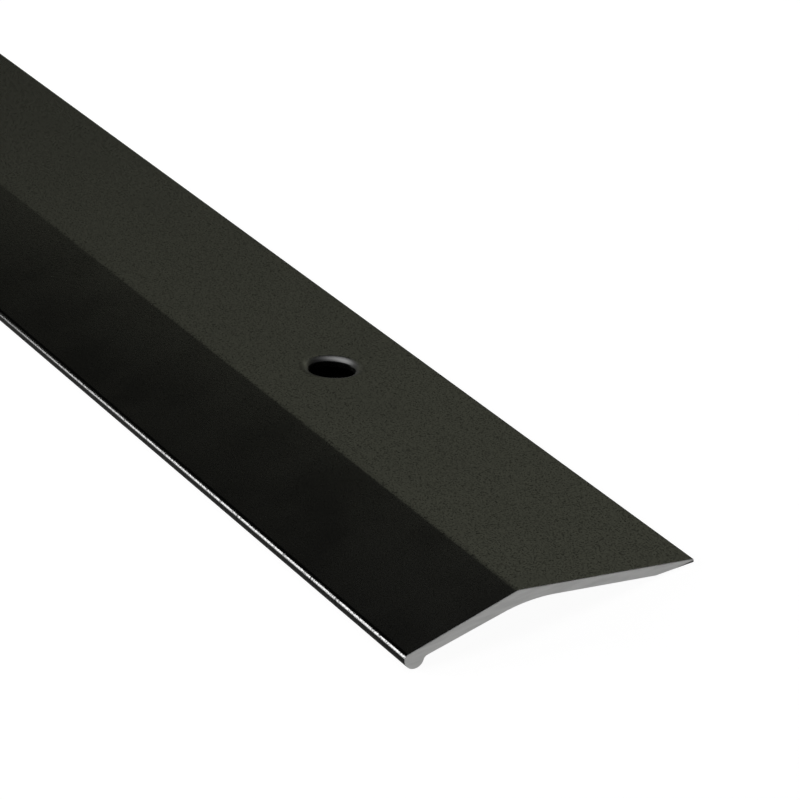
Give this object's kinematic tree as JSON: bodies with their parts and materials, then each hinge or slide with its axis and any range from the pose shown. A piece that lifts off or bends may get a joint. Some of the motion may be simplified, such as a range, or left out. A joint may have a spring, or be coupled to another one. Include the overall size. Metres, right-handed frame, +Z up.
{
  "type": "door threshold strip",
  "caption": "Low asymmetric ramp strip that covers a floor joint in a doorway: rounded foot on one edge, feather edge on the other, drilled for screws.",
  "frame": {"origin": "middle of the footprint, on the floor that the strip stands on", "axes": "+X along the strip, +Y across it from the rounded bead to the feather edge, +Z up"},
  "size_m": [0.9, 0.035, 0.0045],
  "materials": {
    "bronze_anodised": "satin dark bronze anodising, with the sawn ends left bare"
  },
  "bodies": {
    "root": {"ramp_profile": "bronze_anodised"}
  },
  "joints": []
}
